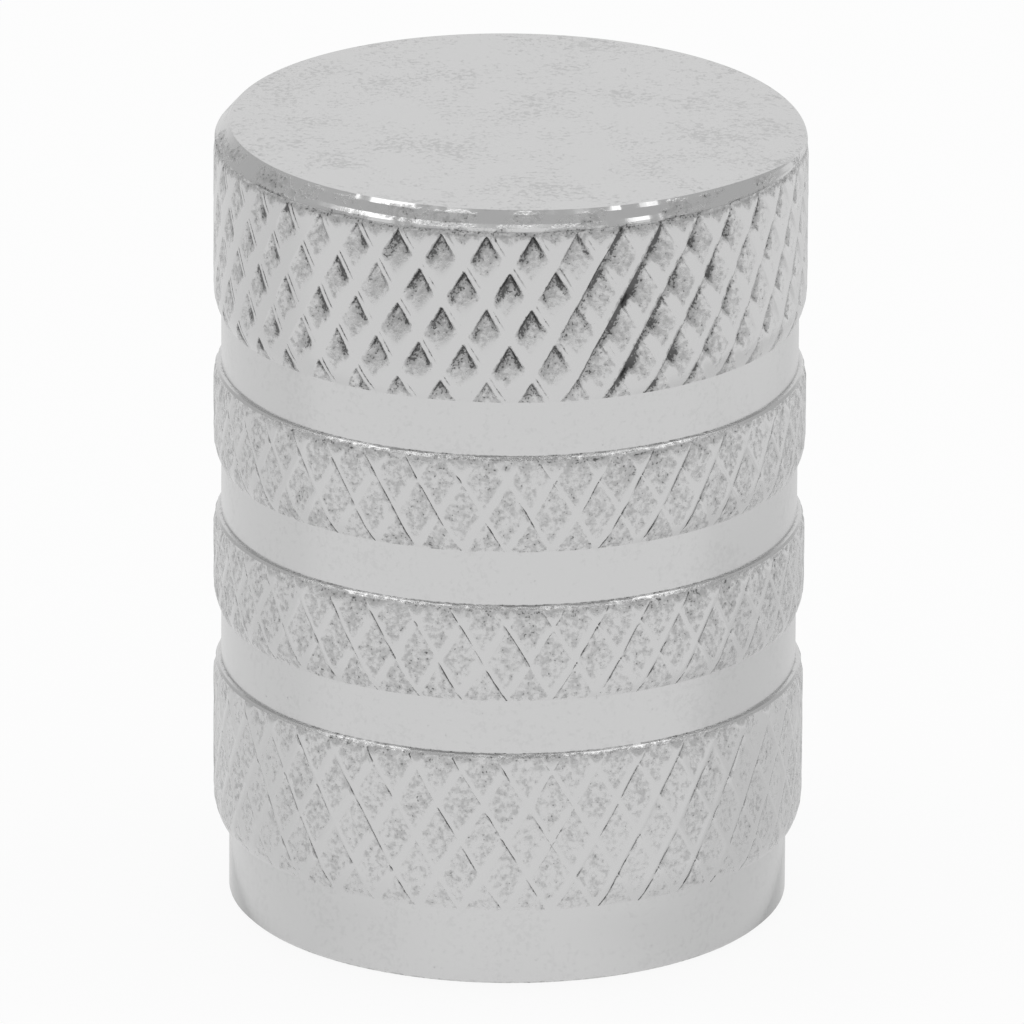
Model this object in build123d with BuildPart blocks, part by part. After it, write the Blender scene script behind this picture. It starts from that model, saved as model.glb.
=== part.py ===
from build123d import *
import os
from math import atan2, cos, degrees, pi, radians, sin, tan

# Tyre valve cap, in millimetres: an aluminium cap turned and knurled as one piece, and the rubber
# washer inside it that seals on the mouth of the valve stem. The cap stands on its open rim, with
# the origin at the centre of the rim and +Z up through the crown. Its front faces -Y.

# Outside of the cap, from the open rim up
band_diameter = 11.0
skirt_height = 1.52
skirt_step = 0.3  # the skirt's radius under that of the bands
skirt_edge_break = 0.08
lower_band_height = 3.08
middle_band_height = 1.86
middle_band_count = 2
crown_band_height = 3.28
groove_width = 1.04
groove_depth = 0.15
crown_bevel_height = 0.35
crown_bevel_width = 0.235
crown_face_tilt = 0.65  # the end face was parted off a little out of square
crown_high_side = -41  # side on which the end face stands highest, from the front of the cap

# Inside of the cap: bored to the crests of the valve thread, then relieved for the washer
thread_major_diameter = 7.747
thread_pitch = 0.794
thread_angle = 60
thread_engagement = 5 / 8  # depth of an internal thread, in heights of its sharp triangle
thread_depth = 9.2
mouth_clearance = 0.1
relief_clearance = 0.13

# Washer, pushed past the thread into the relief and seated against the end of the bore
washer_thickness = 1.5
washer_bore_diameter = 3.6
washer_side_clearance = 0.1
washer_end_clearance = 0.3

# Diamond knurl: two families of raised ridges that cross, with a four-sided pit in each cell
knurl_count = 41
knurl_angle = 30.7  # lean of the ridges from the axis
knurl_turn = -5.4  # crossing of two ridges nearest the front of the cap
knurl_overrun = 0.235  # height of the first row of crossings over the top of the crown band
ridge_width = 0.2
crown_pit_depth = 0.28
lower_pit_depth = 0.12
band_edge_land = 0.04

# Radii and levels that follow
band_radius = band_diameter / 2
skirt_radius = band_radius - skirt_step
groove_radius = band_radius - groove_depth
sharp_thread_height = thread_pitch / 2 / tan(radians(thread_angle / 2))
thread_bore_radius = thread_major_diameter / 2 - thread_engagement * sharp_thread_height
mouth_radius = thread_major_diameter / 2 + mouth_clearance
relief_radius = thread_major_diameter / 2 + relief_clearance
washer_seat = thread_depth + washer_end_clearance + washer_thickness

band_spans = []
band_foot = skirt_height
for band_height in [lower_band_height] + [middle_band_height] * middle_band_count + [crown_band_height]:
    band_spans.append((band_foot, band_foot + band_height))
    band_foot += band_height + groove_width
crown_span = band_spans[-1]
knurl_top = crown_span[1]
crown_bevel_angle = degrees(atan2(crown_bevel_width, crown_bevel_height))
crown_slope = tan(radians(crown_face_tilt))
crown_stock_height = crown_bevel_height + crown_slope * band_radius

# Knurl lattice: the first crossings were rolled above the crown band and turned away with the bevel,
# and each row of cells is half a cell lower than the last and turned by half a cell
cell_turn = 360 / knurl_count
cell_width = 2 * pi * band_radius / knurl_count
cell_height = cell_width / tan(radians(knurl_angle))
row_drop = cell_height / 2
ridge_spacing = cell_width * cos(radians(knurl_angle))
trough_half_width = (ridge_spacing - ridge_width) / 2
cutter_half_width = trough_half_width + ridge_width / 4
pit_reach = trough_half_width / sin(radians(knurl_angle))
least_pit_height = 2 * ridge_width

front = -90
corner_aligned = (Align.MIN, Align.MIN)


def diamond_pit(height, depth, foot, top):
    """Pit at the front of the cap: two crossing troughs, kept between two levels of its band."""
    stand_out = depth * (cutter_half_width / trough_half_width - 1)
    with BuildPart() as pit:
        for lean, mode in ((radians(knurl_angle), Mode.ADD), (radians(-knurl_angle), Mode.INTERSECT)):
            across_trough = Plane(
                origin=(0, -band_radius, height),
                x_dir=(cos(lean), 0, -sin(lean)),
                z_dir=(sin(lean), 0, cos(lean)),
            )
            with BuildSketch(across_trough):
                Polygon((-cutter_half_width, -stand_out), (cutter_half_width, -stand_out), (0, depth))
            extrude(amount=cell_height, both=True, mode=mode)
        with Locations((0, -band_radius, foot)):
            Box(
                2 * cell_width,
                2 * cell_width,
                top - foot,
                align=(Align.CENTER, Align.CENTER, Align.MIN),
                mode=Mode.INTERSECT,
            )
    return pit.part


# One pit for each row of cells in each band, sorted by the two turns that the rows alternate between.
# A pit cut so short by the edge of its band that little more than its tip would show is left out.
crossing_pits = []
between_pits = []
for row in range(int(knurl_top / row_drop) + 1):
    height = knurl_top + knurl_overrun - row * row_drop
    for span in band_spans:
        foot = span[0] + band_edge_land
        top = span[1] - band_edge_land
        if min(top, height + pit_reach) - max(foot, height - pit_reach) > least_pit_height:
            depth = crown_pit_depth if span == crown_span else lower_pit_depth
            same_turn = crossing_pits if row % 2 else between_pits
            same_turn.append(diamond_pit(height, depth, foot, top))

# Cap body: turned core, bands with two flats to each knurl cell, bevelled crown, bore and knurl
with BuildPart() as cap_body:
    with BuildSketch(Plane.XZ) as core_section:
        Rectangle(skirt_radius, skirt_height, align=corner_aligned)
        with Locations((0, skirt_height)):
            Rectangle(groove_radius, knurl_top - skirt_height, align=corner_aligned)
        rim_corner = core_section.vertices().group_by(Axis.Y)[0].sort_by(Axis.X)[-1]
        chamfer(rim_corner, skirt_edge_break)
    revolve(axis=Axis.Z)
    for foot, top in band_spans:
        with BuildSketch(Plane.XY.offset(foot)):
            RegularPolygon(band_radius, 2 * knurl_count, rotation=front + knurl_turn)
        extrude(amount=top - foot)
    with BuildSketch(Plane.XY.offset(knurl_top)):
        RegularPolygon(band_radius, 2 * knurl_count, rotation=front + knurl_turn)
    extrude(amount=crown_stock_height, taper=crown_bevel_angle)
    crown_face = Plane(
        origin=(0, 0, knurl_top + crown_bevel_height),
        z_dir=(
            -crown_slope * sin(radians(crown_high_side)),
            crown_slope * cos(radians(crown_high_side)),
            1,
        ),
    )
    split(bisect_by=crown_face, keep=Keep.BOTTOM)
    with BuildSketch(Plane.XZ):
        Rectangle(thread_bore_radius, thread_depth, align=corner_aligned)
        Polygon((0, 0), (mouth_radius, 0), (0, mouth_radius))
        with Locations((0, thread_depth)):
            Rectangle(relief_radius, washer_seat - thread_depth, align=corner_aligned)
    revolve(axis=Axis.Z, mode=Mode.SUBTRACT)
    with PolarLocations(0, knurl_count, start_angle=knurl_turn):
        add(crossing_pits, mode=Mode.SUBTRACT)
    with PolarLocations(0, knurl_count, start_angle=knurl_turn + cell_turn / 2):
        add(between_pits, mode=Mode.SUBTRACT)

# Seal washer: a flat ring stamped from rubber sheet
with BuildPart() as seal_washer:
    with BuildSketch(Plane.XY.offset(washer_seat)):
        Circle(relief_radius - washer_side_clearance)
        Circle(washer_bore_diameter / 2, mode=Mode.SUBTRACT)
    extrude(amount=-washer_thickness)

os.makedirs("parts", exist_ok=True)
cap_body.part.label = "cap_body"
export_step(cap_body.part, "parts/cap_body.step")
seal_washer.part.label = "seal_washer"
export_step(seal_washer.part, "parts/seal_washer.step")
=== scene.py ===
from math import atan2, cos, exp, floor, pi, radians, sin, sqrt, tau

import bmesh
import bpy
from mathutils import Matrix, Vector, noise


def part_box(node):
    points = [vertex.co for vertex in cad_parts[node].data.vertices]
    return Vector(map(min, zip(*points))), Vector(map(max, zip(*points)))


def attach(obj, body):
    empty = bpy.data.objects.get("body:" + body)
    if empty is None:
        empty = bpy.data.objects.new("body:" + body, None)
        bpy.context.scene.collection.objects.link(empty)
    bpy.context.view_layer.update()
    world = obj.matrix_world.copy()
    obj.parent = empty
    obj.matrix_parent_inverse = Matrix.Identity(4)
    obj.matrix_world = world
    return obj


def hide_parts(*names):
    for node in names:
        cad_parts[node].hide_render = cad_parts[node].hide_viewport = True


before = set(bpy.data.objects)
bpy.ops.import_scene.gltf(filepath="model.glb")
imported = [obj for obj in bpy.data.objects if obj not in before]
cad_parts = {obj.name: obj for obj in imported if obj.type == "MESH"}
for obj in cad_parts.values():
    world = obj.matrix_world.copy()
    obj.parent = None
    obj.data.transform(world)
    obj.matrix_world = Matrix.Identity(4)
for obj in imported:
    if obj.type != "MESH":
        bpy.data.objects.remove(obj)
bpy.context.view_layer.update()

# Cap body: one length of aluminium bar, rolled with a diamond knurl, then turned to its plain grooves,
# skirt and bevelled crown, bored from the open end and tapped to screw onto the valve stem.
MM = 0.001
band_radius = 5.495 * MM
groove_radius = 5.35 * MM
skirt_radius = 5.2 * MM
skirt_height = 1.52 * MM
skirt_edge_break = 0.07 * MM
knurl_foot = 11.44 * MM
knurl_top = 14.72 * MM
lower_bands = (  # foot, top, radius under the foot, share of the dirt that wear left, which also scales the painted shade under the ledge
    (skirt_height, 4.6 * MM, skirt_radius, 0.65),
    (5.64 * MM, 7.5 * MM, groove_radius, 0.95),
    (8.54 * MM, 10.4 * MM, groove_radius, 0.95),
)

bm = bmesh.new()
lattice = bm.loops.layers.uv.new("lattice")
# This layer holds dirt on the metal together with painted shade: under the pits' upper edges, along the
# ridges, under the lip, in the grooves' corners and at the rim.
dirt_and_shade_layer = bm.verts.layers.float.new("dirt_and_shade_layer")
handling = bm.verts.layers.float.new("handling")


def at(angle, radius, height):
    """Point at an angle from the front of the cap, turning towards +X."""
    return Vector((radius * sin(angle), -radius * cos(angle), height))


def angle_of(vert):
    return atan2(vert.co.x, -vert.co.y)


# Knurl of the body: two families of raised ridges cross all round the bands. The strips that climb to the
# right were rolled last and run on unbroken; between them the wheel left four-sided pits, deepest under
# their upper corner. The crown band kept the full depth, and the lower bands were skimmed in turning.
knurl_count = 41
knurl_turn = radians(-4.7)
knurl_crossing = 14.905 * MM
cell_turn = tau / knurl_count
cell_height = 1.41 * MM
spare_cells = 0.5  # of the sheet beyond each edge of a band, cut off afterwards
cut_tolerance = 1e-9
knurl_sway = 0.03 * MM
wave_size = 0.9 * MM  # of the slow waves in the knurl's course and depth
shoulder_start = 14.45 * MM
shoulder_round = 0.9 * MM
foot_rise = 0.5 * MM
foot_drop = 0.13 * MM


def eased(low, high, value):
    """0 below low, 1 above high, and a smooth rise between them."""
    share = min(1.0, max(0.0, (value - low) / (high - low)))
    return share * share * (3 - 2 * share)


def grain(angle, height, size):
    """Smooth noise over the wall, about from -1 to 1, with features of the given size."""
    return noise.noise(at(angle, band_radius, height) / size)


def beside(angle):
    """0 towards the front and the back of the cap, 1 at its sides, where the knurl is made shallower and its
    dirt and painted shade lighter.
    """
    return eased(0.55, 0.95, abs(sin(angle)))


def shoulder(height):
    """Radius of the bands, which rounds over towards the crown."""
    over = max(0.0, height - shoulder_start)
    return band_radius - shoulder_round + sqrt(shoulder_round**2 - over**2)


def sheet_round_axis(columns, wrap, rows_of, place):
    """Grid of faces round the axis. One turn on, the grid meets itself wrap rows further along."""
    grid = {}
    for column in range(columns):
        for row in rows_of(column):
            angle, height, _ = place(column, row)
            grid[column, row] = bm.verts.new(at(angle, band_radius, height))

    def corner(column, row):
        turns, first = divmod(column, columns)
        return grid.get((first, row - turns * wrap))

    faces = []
    for column, row in grid:
        spots = ((column, row), (column + 1, row), (column + 1, row + 1), (column, row + 1))
        corners = [corner(*spot) for spot in spots]
        if None not in corners:
            face = bm.faces.new(corners)
            for loop, spot in zip(face.loops, spots):
                loop[lattice].uv = place(*spot)[2]
            faces.append(face)
    verts = list(grid.values())
    return verts + list({edge for vert in verts for edge in vert.link_edges}) + faces


def points_of(parts):
    return [part for part in parts if isinstance(part, bmesh.types.BMVert)]


def cut_at(sheet, height, keep_above):
    """Cuts a sheet off at a level. Gives back what stays, and the ring of points along the cut."""
    cut = bmesh.ops.bisect_plane(
        bm,
        geom=sheet,
        dist=cut_tolerance,
        plane_co=(0, 0, height),
        plane_no=(0, 0, 1),
        clear_inner=keep_above,
        clear_outer=not keep_above,
    )
    ring = sorted(points_of(cut["geom_cut"]), key=angle_of)
    return [part for part in cut["geom"] if part.is_valid], ring


def knurled_band(foot, top, falling_cuts, climbing_cuts, relief):
    """Knurled wall between two levels. Gives back its lower and upper rings of points."""

    def place(column, row):
        whole, part = divmod(column, len(falling_cuts))
        falling = whole + falling_cuts[part]
        whole, part = divmod(row, len(climbing_cuts))
        climbing = whole + climbing_cuts[part]
        angle = knurl_turn + cell_turn * (falling + climbing) / 2
        height = knurl_crossing - cell_height * (climbing - falling) / 2
        return angle, height, (falling, climbing)

    def rows_of(column):
        falling = place(column, 0)[2][0]
        first = falling + 2 * (knurl_crossing - top) / cell_height - spare_cells
        last = falling + 2 * (knurl_crossing - foot) / cell_height + spare_cells
        return range(floor(first * len(climbing_cuts)), floor(last * len(climbing_cuts)) + 1)

    columns = knurl_count * len(falling_cuts)
    sheet = sheet_round_axis(columns, knurl_count * len(climbing_cuts), rows_of, place)
    sheet, lower_ring = cut_at(sheet, foot, keep_above=True)
    sheet, upper_ring = cut_at(sheet, top, keep_above=False)
    for vert in points_of(sheet):
        falling, climbing = vert.link_loops[0][lattice].uv
        angle, height = angle_of(vert), vert.co.z
        depth, vert[dirt_and_shade_layer] = relief(falling, climbing, angle, height)
        turned_under = foot_drop * max(0.0, 1 - (height - foot) / foot_rise) ** 2
        angle += knurl_sway / band_radius * cos(angle / 2) * grain(angle, height, wave_size)
        vert.co = at(angle, shoulder(height) - max(depth, turned_under), height)
    return lower_ring, upper_ring


crown_depth = 0.2 * MM
trench_depth = 0.6 * crown_depth
pit_roughness = 0.01 * MM
pit_grain_size = 0.12 * MM
crown_falling_half = 0.12  # half widths of the ridges and of the strips, in cells
crown_climbing_half = 0.16
crown_falling_cuts = (0, 0.03, 0.07, 0.12, 0.22, 0.36, 0.52, 0.68, 0.78, 0.84, 0.88, 0.92, 0.97)
crown_climbing_cuts = (0, 0.08, 0.1, 0.13, 0.16, 0.2, 0.25, 0.34, 0.48, 0.66, 0.84, 0.92)
strip_narrowing = 0.08  # of the strips' half width towards the right of the cap
wall_run = 0.08  # width of the pits' steep walls, in cells
patch_edge_run = 0.03  # width of the edges of the patches of painted shade and dirt, in cells
edge_line_half = 0.04
patch_size = 0.4 * MM
break_size = 0.3 * MM
lighter_foot = 0.35 * MM  # height over which the painted shade in the pits thins out towards the band's foot
lip_shade_fade = (0.04 * MM, 0.14 * MM)  # distances under the lip at which the painted shade starts to thin, and ends
lip_tongues = (0.15 * MM, 0.45 * MM)


class CrownSpot:
    """A point of the crown's knurl: its place in its cell, and how the knurl and its painted shade change
    with its angle.
    """

    def __init__(self, falling, climbing, angle, height):
        self.angle = angle
        self.height = height
        self.falling = falling - floor(falling)
        self.climbing = climbing - floor(climbing)

        # At the front, painted shade lies under both upper edges of a pit, the left leg along the strip and
        # the right leg along the ridge. Round each side one leg is left, and to the right a trench parts the
        # strips.
        side = sin(angle)
        self.left_share = eased(-0.62, -0.3, side)
        self.right_share = 1 - eased(0.1, 0.5, side)
        self.parted = eased(0.05, 0.4, side)

        # Distances from the ridge and the strip over the pit, and shares of the way up along them
        strip_half = crown_climbing_half - strip_narrowing * self.parted
        self.from_ridge = 1 - crown_falling_half - self.falling
        self.from_strip = self.climbing - strip_half
        self.along_strip = (self.falling - crown_falling_half) / (1 - 2 * crown_falling_half)
        self.along_ridge = (1 - strip_half - self.climbing) / (1 - 2 * strip_half)

        # The trench is wide at a pit's low end, and far round the right the ridges all but close it
        past_ridge = eased(-0.02, 0.12, self.along_strip)
        low_end = past_ridge * (1 - eased(0.3, 0.95, self.along_strip))
        self.wide = 1 - self.parted * (1 - low_end)
        beside_pit = past_ridge * eased(0, wall_run, self.from_ridge)
        self.apart = 1 - 0.8 * eased(0.35, 0.6, side) * (1 - beside_pit)

        ramps = eased(0, 1, self.along_strip) * eased(0, 1, self.along_ridge)
        self.pit = eased(0, wall_run, self.from_ridge) * eased(0, wall_run, self.from_strip)
        self.pit *= ramps**0.6 * (1 - 0.4 * self.parted)
        self.broken = eased(-0.35, 0.15, self.grain(break_size))

    def grain(self, size):
        return grain(self.angle, self.height, size)

    def depth(self):
        trench = self.apart * self.parted * eased(0, wall_run, self.from_strip)
        trench *= 1 - eased(0.08 + 0.12 * self.wide, 0.22 + 0.2 * self.wide, self.from_strip)
        depth = max(crown_depth * self.pit, trench_depth * trench) * (1 + 0.2 * self.grain(wave_size))
        depth *= (0.65 + 0.35 * self.left_share) * (1 - 0.5 * beside(self.angle))
        return max(0.0, depth + pit_roughness * self.pit * self.grain(pit_grain_size))

    def leg_shade_and_oxide(self):
        """Painted shade, with some oxide, in dark patches under the upper edges of a pit."""
        reach = 0.13 + 0.04 * self.parted - 0.06 * (1 - self.wide)
        in_cell = eased(0, patch_edge_run, self.from_ridge) * eased(-0.1, 0.2, self.along_strip)
        left_leg = eased(-patch_edge_run, patch_edge_run, self.from_strip)
        left_leg *= 1 - eased(reach, 2.6 * reach, self.from_strip)
        left_leg *= max(self.apart * self.parted, in_cell * (1 - self.parted))

        near = 0.12 - 0.03 * self.left_share
        far = 0.32 - 0.04 * self.left_share
        right_leg = eased(-patch_edge_run, patch_edge_run, self.from_ridge) * (1 - eased(near, far, self.from_ridge))
        right_leg *= eased(0, patch_edge_run, self.from_strip) * eased(-0.1, 0.25, self.along_ridge)
        right_leg *= self.left_share + (1 - self.left_share) * (0.55 + 0.85 * self.broken)

        patchy = 0.68 + 0.2 * self.parted + 0.5 * self.grain(patch_size)
        patchy *= 1 - (0.2 + 0.3 * self.parted) * beside(self.angle)
        patchy *= 0.6 + 0.4 * eased(0, lighter_foot, self.height - knurl_foot)
        return patchy * max(self.left_share * left_leg, self.right_share * right_leg)

    def line_shade(self):
        """Broken fine lines of painted shade along a ridge: one at its edge, and one in the crease down its
        middle.
        """
        edge = (1 - self.left_share) * max(0.0, 1 - abs(self.from_ridge) / edge_line_half)
        edge *= eased(0, patch_edge_run, self.from_strip) * eased(-0.1, 0.2, self.along_ridge)
        crease = self.right_share * (1 - eased(0, patch_edge_run, min(self.falling, 1 - self.falling)))
        crease *= eased(0, 0.1, self.from_strip) * (1 - eased(0.5, 0.8, self.from_strip))
        return self.broken * max(0.4 * edge, (0.95 - 0.35 * self.left_share) * crease)

    def floor_dirt(self):
        """Grey film on the floor of a pit."""
        darkening = eased(0, patch_edge_run, self.from_ridge) * eased(0, patch_edge_run, self.from_strip)
        darkening *= eased(0, 0.12, self.along_strip) * eased(0, 0.12, self.along_ridge)
        darkening *= 0.1 + 0.14 * max(self.pit, 0.7 * self.parted, 0.6 * (1 - self.left_share))
        return darkening * (1 - 0.6 * self.parted * beside(self.angle))

    def lip_shade_and_dirt(self):
        """Painted shade, with some dirt, under the lip of the crown, which reaches down between the ridges.
        """
        between = eased(0.1, 0.25, min(self.falling, 1 - self.falling))
        between *= eased(0.1, 0.25, min(self.climbing, 1 - self.climbing))
        below_lip = knurl_top - self.height
        darkening = 0.28 * (1 - eased(*lip_shade_fade, below_lip))
        return max(darkening, 0.32 * between * (1 - eased(*lip_tongues, below_lip)))


def crown_relief(falling, climbing, angle, height):
    """Depth and dirt, with painted shade, of the crown band, which kept the knurl's full depth."""
    spot = CrownSpot(falling, climbing, angle, height)
    return spot.depth(), max(spot.leg_shade_and_oxide(), spot.line_shade(), spot.floor_dirt(), spot.lip_shade_and_dirt())


lower_depth = 0.02 * MM
lower_falling_half = 0.03
lower_climbing_half = 0.06
lower_falling_cuts = (0, 0.03, 0.1, 0.32, 0.56, 0.8, 0.91, 0.94, 0.97)
lower_climbing_cuts = (0, 0.06, 0.09, 0.12, 0.3, 0.54, 0.82, 0.94)
foot_line = 0.03  # half width of the lines along the ridges' feet, in cells
line_depth = 0.05 * MM
line_gap_size = 0.5 * MM
line_break_size = 0.13 * MM
blotch_size = 1.1 * MM
skim_grain_size = 0.25 * MM
edge_start = 0.1 * MM
edge_rise = 0.15 * MM
edge_drop = 0.03 * MM


def skimmed_relief(foot, top, dirt_and_shade_left):
    """Depth, dirt and painted shade of a lower band, whose ridges were skimmed until only their foot lines
    show.
    """

    def relief(falling, climbing, angle, height):
        falling -= floor(falling)
        climbing -= floor(climbing)
        from_ridge = 1 - lower_falling_half - falling
        from_strip = climbing - lower_climbing_half

        # Broken lines of painted shade along the ridges' feet, one family on each side of the cap; they are
        # also cut in a little.
        left_share = eased(0.0, 0.3, sin(angle))
        left_line = left_share * max(0.0, 1 - abs(from_strip - foot_line) / foot_line)
        right_line = (1 - left_share) * max(0.0, 1 - abs(from_ridge - foot_line) / foot_line)
        broken = eased(-0.4, 0.1, grain(angle, height, line_gap_size))
        broken *= eased(-0.35, 0.15, grain(angle, height, line_break_size))
        line = broken * max(left_line * eased(0, patch_edge_run, from_ridge), right_line)
        line *= 1 - 0.6 * beside(angle)

        inside = eased(0, 0.06, from_ridge) * eased(0, 0.06, from_strip)
        inside *= eased(0, 0.1, falling - lower_falling_half)
        inside *= eased(0, 0.14, 1 - lower_climbing_half - climbing)
        at_foot = 1 - eased(0.05 * MM, 0.3 * MM, height - foot)
        # Painted shade just under the ledge at the band's top, lighter at the sides.
        at_top = 0.4 * (1 - eased(0.1 * MM, 0.3 * MM, top - height)) * (1 - 0.5 * beside(angle))
        blotches_and_ledge_shade = max((0.22 + 0.12 * at_foot) * inside, at_top * (0.5 + 0.5 * inside))
        blotches_and_ledge_shade *= eased(-0.03 * MM, 0.06 * MM, height - foot)
        blotches_and_ledge_shade *= dirt_and_shade_left * (1 - 0.2 * beside(angle)) * (1 + 0.6 * grain(angle, height, blotch_size))

        depth = lower_depth * inside * (1 + 0.5 * grain(angle, height, skim_grain_size))
        turned_over = edge_drop * max(0.0, 1 - (top - edge_start - height) / edge_rise) ** 2
        return turned_over + max(depth, line_depth * line), max(line, blotches_and_ledge_shade)

    return relief


# Bands, grooves and skirt of the body, from the open rim up. Each band is rounded off above and below, where
# the groove's tool broke its corners, and the plain metal between them is only lightly marked.
ledge_profile = (  # drop under the band's top, radius, painted shade of the dark line under the bright edge, how far a worn edge stands out
    (0.06 * MM, 5.445 * MM, 0.3, 0.0),
    (0.015 * MM, 5.385 * MM, 0.05, 0.025 * MM),
)
ledge_spread = 20  # how many times further apart the edges lie in the noise, so that their burrs differ
ledge_rarity = -0.3
facet_size = 0.8 * MM
facet_break_size = 0.2 * MM
edge_wave = 0.01 * MM
edge_wave_size = 0.9 * MM
edge_burr = 0.0025 * MM
edge_burr_size = 0.16 * MM
groove_corner_shade = 0.45
groove_lift = 0.02 * MM
plain_flecks = 0.25
rim_shade = 0.3


def sharpen(ring):
    for k in range(len(ring)):
        edge = bm.edges.get((ring[k - 1], ring[k]))
        if edge:
            edge.smooth = False


def turned_ring(ring, place, dirt_and_shade=0.0, flecks=0.0, sharp=False):
    """Next ring of a turned surface: the same angles at the radius and level that place gives."""
    made = []
    for vert in ring:
        angle = angle_of(vert)
        new = bm.verts.new(at(angle, *place(angle)))
        new[dirt_and_shade_layer] = dirt_and_shade * (1 - 0.7 * beside(angle))
        new[handling] = flecks
        made.append(new)
    for k in range(len(ring)):
        bm.faces.new((ring[k - 1], ring[k], made[k], made[k - 1]))
    if sharp:
        sharpen(made)
    return made


def lap(lower, upper):
    """Joins two rings whose points stand at different angles, with one triangle for each point."""
    i = j = 0
    while i < len(lower) or j < len(upper):
        if j == len(upper) or (i < len(lower) and angle_of(lower[i]) <= angle_of(upper[j])):
            bm.faces.new((lower[i - 1], lower[i], upper[j - 1]))
            i += 1
        else:
            bm.faces.new((upper[j - 1], upper[j], lower[i - 1]))
            j += 1


def level(radius, height):
    return lambda angle: (radius, height)


def crisp(angle, height, rarity):
    """0 where an edge is rounded, 1 where it kept a bright facet. The facets come and go round the front."""
    kept = grain(angle, height, facet_size) + 0.9 * grain(angle, height, facet_break_size)
    kept = eased(rarity - 0.25, rarity + 0.25, kept)
    return kept * (1 - eased(0.45, 0.75, abs(sin(angle))))


def uneven(angle, height):
    """Waves and burrs that a tool left along an edge."""
    wave = edge_wave * grain(angle, height, edge_wave_size)
    return wave + edge_burr * grain(angle, height, edge_burr_size)


def ledge(drop, radius, worn, top):
    """Place on the broken edge over a band."""

    def place(angle):
        lump = 0.6 * uneven(angle, top - ledge_spread * drop)
        rounded = worn * (1 - crisp(angle, top, ledge_rarity))
        return radius + rounded + min(0.0, lump), top - drop + lump

    return place


band_rings = []
for foot, top, radius_below, dirt_and_shade_left in lower_bands:
    relief = skimmed_relief(foot, top, dirt_and_shade_left)
    lower_ring, upper_ring = knurled_band(
        foot, top - edge_start, lower_falling_cuts, lower_climbing_cuts, relief
    )
    for drop, radius, dirt_and_shade, worn in ledge_profile:
        upper_ring = turned_ring(upper_ring, ledge(drop, radius, worn, top), dirt_and_shade, sharp=True)
    # Painted shade in the inner corner where the ledge meets the groove.
    upper_ring = turned_ring(upper_ring, level(groove_radius, top), groove_corner_shade, sharp=True)
    upper_ring = turned_ring(upper_ring, level(groove_radius, top + groove_lift), flecks=plain_flecks)
    sharpen(lower_ring)
    lower_ring = turned_ring(lower_ring, level(radius_below, foot), flecks=plain_flecks, sharp=True)
    band_rings.append((lower_ring, upper_ring))

lip_run = 0.04 * MM
lower_ring, crown_ring = knurled_band(
    knurl_foot, knurl_top - lip_run, crown_falling_cuts, crown_climbing_cuts, crown_relief
)
sharpen(lower_ring)
lower_ring = turned_ring(lower_ring, level(groove_radius, knurl_foot), flecks=plain_flecks, sharp=True)
band_rings.append((lower_ring, crown_ring))
for (_, below), (above, _) in zip(band_rings, band_rings[1:]):
    lap(below, above)

skirt_ring = turned_ring(band_rings[0][0], level(skirt_radius, skirt_edge_break), flecks=plain_flecks)
# Painted shade: a dark line along the rim's bottom edge.
rim_ring = turned_ring(skirt_ring, level(skirt_radius - skirt_edge_break, 0.0), rim_shade, sharp=True)

# Crown of the body: an end face that was parted off a little out of square, and a bevel round it with a
# rolled lip below. Towards one side the face is knocked over, and the bevel is all but gone.
crown_middle = 15.062 * MM
crown_rise_left = 0.039 * MM
crown_rise_front = 0.045 * MM
crown_twist = 0.012 * MM
crown_radius = 5.265 * MM
crown_offset = 0.055 * MM
knock_angle = radians(82)
knock_spread = radians(24)
knock_reach = 0.15 * MM
knock_drop = 0.12 * MM
lip_radius = 5.475 * MM
lip_height = 14.77 * MM
lip_shrink = 0.03 * MM
lip_foot_shade = 0.5
ring_spread = 12.7 * MM  # distance in the noise from the bevel's upper edge to its lip
streak_size = 0.25 * MM
streak_stretch = 0.4
bevel_profile = (  # share of the way down, share of the way out on a bright facet, dirt (on the lip's lowest ring, painted shade under the lip), rarity of facets
    (1.0, 1.0, 0.6, 0.0),
    (0.84, 0.98, 0.2, -0.2),
    (0.66, 0.68, 0.36, 0.0),
    (0.2, 0.34, 0.3, 0.05),
)
edge_inset = 0.004 * MM
edge_flecks = 0.5
face_border = ((0.03 * MM, 1.0), (0.12 * MM, 1.4), (0.3 * MM, 1.0))  # inset from the edge, flecks
face_rings = ((6 * knurl_count, 0.86), (4 * knurl_count, 0.66), (2 * knurl_count, 0.4), (knurl_count, 0.15))
face_flecks = 1.0


def knocked(angle):
    return exp(-(((angle - knock_angle) / knock_spread) ** 2))


def crown_edge(angle):
    """Radius of the end face."""
    return crown_radius + crown_offset * sin(angle) + knock_reach * knocked(angle)


def crown_face(angle, share):
    """Place on the end face, at a share of the way out to its edge."""
    tilt = crown_rise_front * cos(angle) - crown_rise_left * sin(angle)
    height = crown_middle + share * tilt + share**2 * crown_twist * cos(2 * angle)
    return share * crown_edge(angle), height - share**10 * knock_drop * knocked(angle)


def bevel(down, out, rarity):
    """Place on the bevel, at shares of the way down and out from the end face to the lip."""

    def place(angle):
        radius, height = crown_face(angle, 1.0)
        reach = down + (out - down) * crisp(angle, height + down * ring_spread, rarity)
        lump = uneven(angle, height + down * ring_spread)
        return radius + reach * (lip_radius - radius), height + down * (lip_height - height) + lump

    return place


def inside_edge(inset):
    return lambda angle: crown_face(angle, 1 - inset / crown_edge(angle))


lip_foot = level(shoulder(knurl_top) - lip_shrink, knurl_top)
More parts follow.
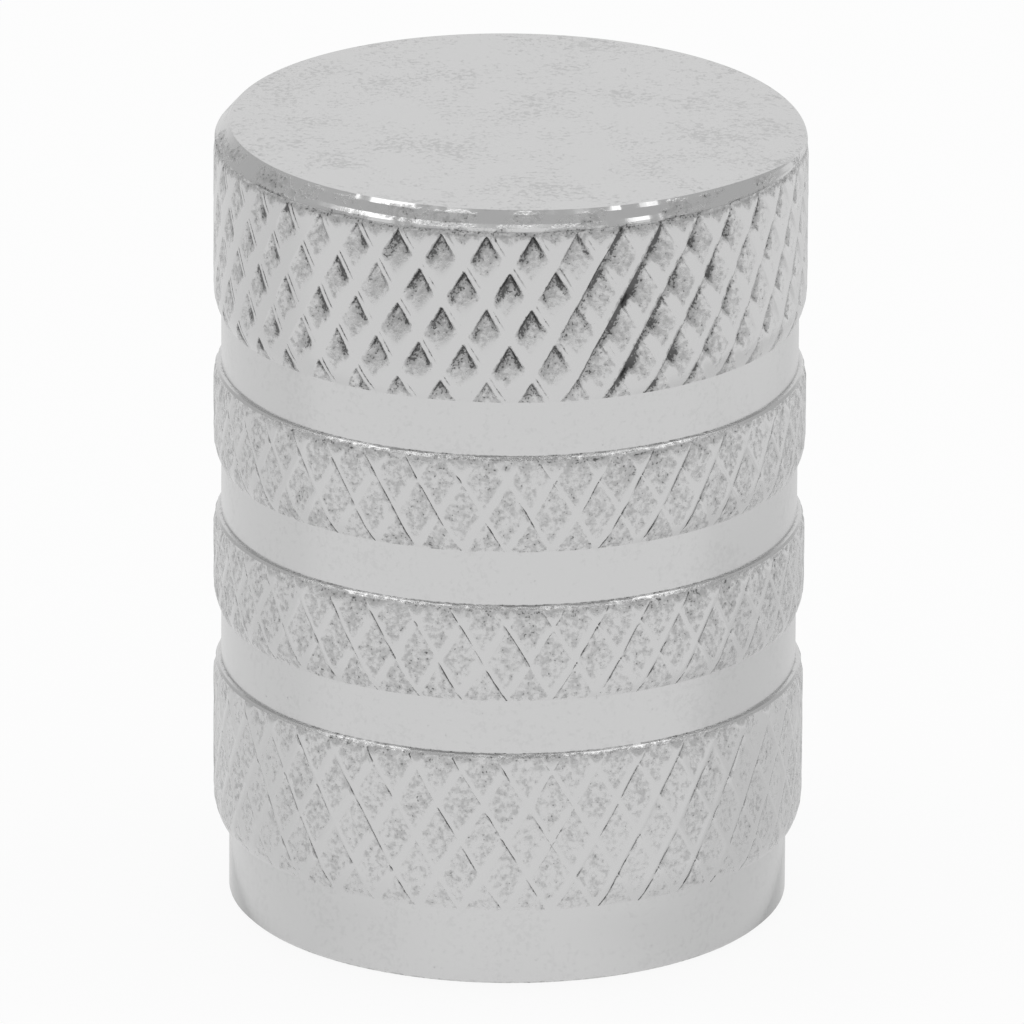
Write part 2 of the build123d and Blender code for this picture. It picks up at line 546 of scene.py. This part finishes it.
# Painted shade on the underside of the lip.
crown_ring = turned_ring(crown_ring, lip_foot, lip_foot_shade)
for down, out, dirt_and_shade, rarity in bevel_profile:
    crown_ring = turned_ring(crown_ring, bevel(down, out, rarity), sharp=True)
    for vert in crown_ring:
        streak = grain(streak_stretch * angle_of(vert), vert.co.z, streak_size)
        vert[dirt_and_shade_layer] = dirt_and_shade * eased(-0.3, 0.5, streak)
crown_ring = turned_ring(crown_ring, inside_edge(edge_inset), flecks=edge_flecks, sharp=True)
for inset, flecks in face_border:
    crown_ring = turned_ring(crown_ring, inside_edge(inset), flecks=flecks)
for points, share in face_rings:
    ring = []
    for k in range(points):
        angle = tau * (k + 0.5) / points - pi
        vert = bm.verts.new(at(angle, *crown_face(angle, share)))
        vert[handling] = face_flecks
        ring.append(vert)
    lap(crown_ring, ring)
    crown_ring = ring
bm.faces.new(crown_ring)

# Bore of the body: a countersunk mouth, the tapped thread, and a relief above it that holds the washer. The
# thread is one sheet that climbs a pitch in each turn, so it runs on as a helix.
thread_pitch = 0.794 * MM
thread_crest = 3.444 * MM
thread_root = 3.8735 * MM
thread_top = 9.2 * MM
thread_dirt = 0.2
mouth_radius = 3.9735 * MM
relief_radius = 4.0035 * MM
bore_end = 11.0 * MM
thread_steps = 72
crest_half = 0.125  # in pitches, as are the middle of a flank and the edge of a root
flank_middle = 0.28
root_edge = 0.4375
thread_cuts = (0.0, crest_half, flank_middle, root_edge, 1 - root_edge, 1 - flank_middle, 1 - crest_half)
spare_turns = 2


def thread_place(column, row):
    whole, part = divmod(row, len(thread_cuts))
    turns = column / thread_steps
    height = thread_pitch * (whole + thread_cuts[part] + turns)
    return tau * turns - pi, height, (0.0, 0.0)


def thread_rows(column):
    turns = int(thread_top / thread_pitch + spare_turns)
    return range(-spare_turns * len(thread_cuts), turns * len(thread_cuts))


thread = sheet_round_axis(thread_steps, -len(thread_cuts), thread_rows, thread_place)
thread, mouth_ring = cut_at(thread, 0.0, keep_above=True)
thread, thread_end = cut_at(thread, thread_top, keep_above=False)
for vert in points_of(thread):
    angle, height = angle_of(vert), vert.co.z
    phase = height / thread_pitch - (angle + pi) / tau
    from_crest = abs(phase - floor(phase + 0.5))
    flank = min(1.0, max(0.0, (from_crest - crest_half) / (root_edge - crest_half)))
    radius = thread_crest + flank * (thread_root - thread_crest)
    vert.co = at(angle, max(radius, mouth_radius - height), height)
    vert[dirt_and_shade_layer] = thread_dirt * flank
lap(rim_ring, mouth_ring)
sharpen(mouth_ring)
relief_ring = turned_ring(thread_end, level(relief_radius, thread_top), sharp=True)
relief_ring = turned_ring(relief_ring, level(relief_radius, bore_end), sharp=True)
bm.faces.new(relief_ring)

bmesh.ops.recalc_face_normals(bm, faces=bm.faces)
for face in bm.faces:
    face.smooth = True
cap_mesh = bpy.data.meshes.new("cap_body_turned")
bm.to_mesh(cap_mesh)
bm.free()
cap_body = bpy.data.objects.new("cap_body_turned", cap_mesh)
bpy.context.collection.objects.link(cap_body)
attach(cap_body, "root")
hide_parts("cap_body")

# Finish of the body: bare turned metal, satin on the lands and ridges. The pits hold a dark, broken skin of
# oxide, and the same dark colour paints shade under the pits' edges, along the ridges, under the lip and in
# corners. The end face is flecked and finely marked from handling.
clean_metal = (0.62, 0.62, 0.62, 1)
dull_metal = (0.45, 0.45, 0.45, 1)
oxide_and_painted_shade = (0.13, 0.13, 0.13, 1)
satin_roughness = 0.24
dull_roughness = 0.16
cloud_size = 0.11 * MM
speckle_size = 0.04 * MM
drift_size = 1.1 * MM
skin_thickness = 0.02 * MM


class Number:
    """A number that changes over a surface. Sums written with it add Math nodes to its tree."""

    def __init__(self, tree, socket):
        self.tree = tree
        self.socket = socket

    def math(self, operation, first, second):
        return self.tree.node("Math", {"operation": operation}, {0: first, 1: second})

    def __add__(self, other):
        return self.math("ADD", self, other)

    def __sub__(self, other):
        return self.math("SUBTRACT", self, other)

    def __rsub__(self, other):
        return self.math("SUBTRACT", other, self)

    def __mul__(self, other):
        return self.math("MULTIPLY", self, other)

    __radd__ = __add__
    __rmul__ = __mul__


class Finish:
    """Nodes of one finish, or of the light round the cap."""

    def __init__(self, owner):
        owner.use_nodes = True
        self.nodes = owner.node_tree.nodes
        self.links = owner.node_tree.links
        self.nodes.clear()

    def node(self, kind, settings, sockets, output=0):
        node = self.nodes.new("ShaderNode" + kind)
        for name, value in settings.items():
            setattr(node, name, value)
        for name, value in sockets.items():
            if isinstance(value, Number):
                self.links.new(value.socket, node.inputs[name])
            else:
                node.inputs[name].default_value = value
        return Number(self, node.outputs[output]) if len(node.outputs) else None

    def noise(self, place, size, detail=2.0, roughness=0.5):
        """Cloudy noise from 0 to 1 with features of about the given size."""
        return self.node(
            "TexNoise",
            {},
            {"Vector": place, "Scale": 1 / size, "Detail": detail, "Roughness": roughness},
        )

    def rise(self, value, low, high):
        """0 below low, 1 above high, and a smooth rise between them."""
        return self.node(
            "MapRange",
            {"interpolation_type": "SMOOTHSTEP"},
            {"Value": value, "From Min": low, "From Max": high},
        )

    def blend(self, share, first, second):
        """Colour between two others."""
        return self.node("Mix", {"data_type": "RGBA"}, {0: share, 6: first, 7: second}, output=2)


metal = bpy.data.materials.new("turned_aluminium_finish")
finish = Finish(metal)
place = finish.node("TexCoord", {}, {}, output="Object")
dirt_and_shade = finish.node("Attribute", {"attribute_name": "dirt_and_shade_layer"}, {}, output="Fac")
flecks = finish.node("Attribute", {"attribute_name": "handling"}, {}, output="Fac")
cloud = finish.noise(place, cloud_size, detail=5.0, roughness=0.65)
speckle = finish.noise(place, speckle_size)
drift = finish.noise(place, drift_size)
held = finish.rise(dirt_and_shade, 0.02, 0.15)
dull_share = held * finish.rise(cloud + 0.55 * dirt_and_shade, 0.5, 0.78)
pepper = held * finish.rise(0.4 * cloud + 0.6 * speckle + 0.2 * dirt_and_shade, 0.62, 0.7)
shade = finish.rise(0.6 * cloud + dirt_and_shade, 0.6, 1.2)
dark_share = finish.rise(cloud + 1.4 * speckle + 0.8 * dirt_and_shade, 1.65, 1.77)
fleck_share = flecks * finish.rise(0.75 * cloud + 0.25 * speckle + 0.35 * drift, 0.69, 0.8)
tint = finish.blend(0.85 * dull_share, clean_metal, dull_metal)
tint = finish.blend(0.75 * fleck_share, tint, dull_metal)
tint = finish.blend(0.5 * pepper, tint, oxide_and_painted_shade)
tint = finish.blend(0.5 * shade, tint, oxide_and_painted_shade)
tint = finish.blend(dark_share, tint, oxide_and_painted_shade)
roughness = satin_roughness + dull_roughness * dull_share
skin = (speckle + cloud) * dull_share
surface = finish.node("Bump", {}, {"Strength": 0.3, "Distance": skin_thickness, "Height": skin})
shader = finish.node(
    "BsdfPrincipled",
    {},
    {"Base Color": tint, "Metallic": 1.0, "Roughness": roughness, "Normal": surface},
)
finish.node("OutputMaterial", {}, {"Surface": shader})
cap_mesh.materials.append(metal)

# Seal washer: a flat ring stamped from black rubber sheet, pushed past the thread until it lies in the
# relief against the end of the bore. Its edges are rounded, and a pale bloom has come out on it in patches.
washer_low, washer_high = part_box("seal_washer")
washer_radius = washer_high.x
washer_bore = 1.8 * MM
washer_edge = 0.12 * MM
washer_round = 0.3 * washer_edge
washer_steps = 96
washer_profile = (
    (washer_bore, washer_low.z + washer_edge),
    (washer_bore + washer_round, washer_low.z + washer_round),
    (washer_bore + washer_edge, washer_low.z),
    (washer_radius - washer_edge, washer_low.z),
    (washer_radius - washer_round, washer_low.z + washer_round),
    (washer_radius, washer_low.z + washer_edge),
    (washer_radius, washer_high.z - washer_edge),
    (washer_radius - washer_edge, washer_high.z),
    (washer_bore + washer_edge, washer_high.z),
    (washer_bore, washer_high.z - washer_edge),
)
bm = bmesh.new()
rings = [
    [bm.verts.new(at(tau * step / washer_steps, radius, height)) for step in range(washer_steps)]
    for radius, height in washer_profile
]
for first, second in zip(rings, rings[1:] + rings[:1]):
    for k in range(washer_steps):
        bm.faces.new((first[k - 1], first[k], second[k], second[k - 1])).smooth = True
bmesh.ops.recalc_face_normals(bm, faces=bm.faces)
washer_mesh = bpy.data.meshes.new("seal_washer_ring")
bm.to_mesh(washer_mesh)
bm.free()
washer = bpy.data.objects.new("seal_washer_ring", washer_mesh)
bpy.context.collection.objects.link(washer)
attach(washer, "root")
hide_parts("seal_washer")

black_rubber = (0.018, 0.018, 0.018, 1)
bloomed_rubber = (0.05, 0.049, 0.047, 1)
bloom_size = 0.6 * MM
pore_size = 0.05 * MM
pore_depth = 0.02 * MM
rubber = bpy.data.materials.new("seal_rubber_finish")
finish = Finish(rubber)
place = finish.node("TexCoord", {}, {}, output="Object")
bloom = finish.noise(place, bloom_size, detail=4.0)
pores = finish.noise(place, pore_size)
tint = finish.blend(finish.rise(bloom, 0.4, 0.75), black_rubber, bloomed_rubber)
surface = finish.node("Bump", {}, {"Strength": 0.3, "Distance": pore_depth, "Height": pores})
shader = finish.node(
    "BsdfPrincipled", {}, {"Base Color": tint, "Roughness": 0.6 + 0.25 * bloom, "Normal": surface}
)
finish.node("OutputMaterial", {}, {"Surface": shader})
washer_mesh.materials.append(rubber)

# Table under the cap: a plain white card, wide enough to fill the view. To the metal's reflections only, it
# has a painted shadow that greys it to each side of the cap, and from below it is clear, so that the rim and
# the thread can be looked at.
card_size = 2.0
card_drop = 0.02 * MM
card_white = (1, 1, 1, 1)
card_reflected_shadow_right = (0.83, 0.83, 0.83, 1)
card_reflected_shadow_left = (0.9, 0.9, 0.9, 1)
card_paper = (0.93, 0.93, 0.93, 1)
card_glow = 0.9  # share of its white that the card gives itself; the rest takes the cap's soft shadow
grey_front = (-9 * MM, -2 * MM)  # distances over which the painted shadow in the reflections sets in, backwards and sideways
grey_side = (1 * MM, 4 * MM)
grey_right_end = 36 * MM
grey_right_fade = 14 * MM
floor_mesh = bpy.data.meshes.new("white_card")
bm = bmesh.new()
bmesh.ops.create_grid(bm, x_segments=1, y_segments=1, size=card_size)
bm.to_mesh(floor_mesh)
bm.free()
card = bpy.data.objects.new("white_card", floor_mesh)
card.location.z = -card_drop
bpy.context.collection.objects.link(card)

paper = bpy.data.materials.new("white_card_finish")
finish = Finish(paper)
seen = finish.node("LightPath", {}, {}, output="Is Camera Ray")
mirrored = finish.node("LightPath", {}, {}, output="Is Glossy Ray")
through = finish.node("LightPath", {}, {}, output="Is Transmission Ray")
place = finish.node("TexCoord", {}, {}, output="Object")
sideways = finish.node("SeparateXYZ", {}, {0: place}, output="X")
backward = finish.node("SeparateXYZ", {}, {0: place}, output="Y")
reflected_shadow = mirrored * finish.rise(backward, *grey_front)
to_right = finish.rise(sideways, *grey_side) * finish.rise(grey_right_end - sideways, 0.0, grey_right_fade)
to_left = finish.rise(-1 * sideways, *grey_side)
tint = finish.blend(reflected_shadow * to_right, card_white, card_reflected_shadow_right)
tint = finish.blend(reflected_shadow * to_left, tint, card_reflected_shadow_left)
matt = finish.node("BsdfDiffuse", {}, {"Color": card_paper})
glowing = finish.node("Emission", {}, {"Color": tint, "Strength": 1.0})
glow_share = card_glow * seen + card_glow * mirrored + through
shader = finish.node("MixShader", {}, {0: glow_share, 1: matt, 2: glowing})
from_below = finish.node("NewGeometry", {}, {}, output="Backfacing")
clear = finish.node("BsdfTransparent", {}, {})
shader = finish.node("MixShader", {}, {0: from_below, 1: shader, 2: clear})
finish.node("OutputMaterial", {}, {"Surface": shader})
floor_mesh.materials.append(paper)

# Light: a white room, greyer overhead and to the sides, and one wide soft lamp straight above the cap, which
# shines from the bright facets along its edges.
room_white = (0.92, 0.92, 0.92, 1)
room_grey = (0.6, 0.6, 0.6, 1)
world = bpy.data.worlds.new("pale_room")
bpy.context.scene.world = world
finish = Finish(world)
direction = finish.node("TexCoord", {}, {}, output="Generated")
sideways = finish.node("SeparateXYZ", {}, {0: direction}, output="X")
backward = finish.node("SeparateXYZ", {}, {0: direction}, output="Y")
upward = finish.node("SeparateXYZ", {}, {0: direction}, output="Z")
overhead = finish.rise(upward - 0.45 * finish.rise(backward, 0.5, 0.95), 0.15, 0.5)
tint = finish.blend(overhead, room_white, room_grey)
tint = finish.blend(finish.rise(sideways * sideways, 0.12, 0.4), tint, room_grey)
glow = finish.node("Background", {}, {"Color": tint, "Strength": 1.0})
finish.node("OutputWorld", {}, {"Surface": glow})

lamp_place = Vector((0, 15 * MM, 260 * MM))
lamp_target = Vector((0, 0, 10 * MM))
lamp = bpy.data.lights.new("overhead_lamp", "AREA")
lamp.shape = "RECTANGLE"
lamp.size = 400 * MM
lamp.size_y = 120 * MM
lamp.energy = 0.22
hung_lamp = bpy.data.objects.new("overhead_lamp", lamp)
bpy.context.collection.objects.link(hung_lamp)
lamp_turn = (lamp_target - lamp_place).to_track_quat("-Z", "Y").to_matrix().to_4x4()
hung_lamp.matrix_world = Matrix.Translation(lamp_place) @ lamp_turn

# Camera: a long lens looking a little down on the front of the cap. Its place, roll and shift put the cap
# where the photograph has it.
frame_pixels = 1024
sensor_width = 36.0
focal_pixels = 18521.9
camera_lift = radians(19.726)
camera_roll = radians(0.327)
camera_distance = 344.27 * MM
aim_point = Vector((0, 0, 7.5 * MM))
aim_pixel = (509.1, 506.9)
camera = bpy.data.cameras.new("camera")
camera.sensor_width = sensor_width
camera.lens = focal_pixels / frame_pixels * sensor_width
camera.shift_x = (frame_pixels / 2 - aim_pixel[0]) / frame_pixels
camera.shift_y = (aim_pixel[1] - frame_pixels / 2) / frame_pixels
camera.clip_start = 10 * MM
viewer = bpy.data.objects.new("camera", camera)
bpy.context.collection.objects.link(viewer)
towards = Vector((0, -cos(camera_lift), sin(camera_lift)))
turn = towards.to_track_quat("Z", "Y").to_matrix().to_4x4()
viewer.matrix_world = (
    Matrix.Translation(aim_point + camera_distance * towards) @ turn @ Matrix.Rotation(camera_roll, 4, "Z")
)
bpy.context.scene.camera = viewer
bpy.context.scene.view_settings.view_transform = "Standard"
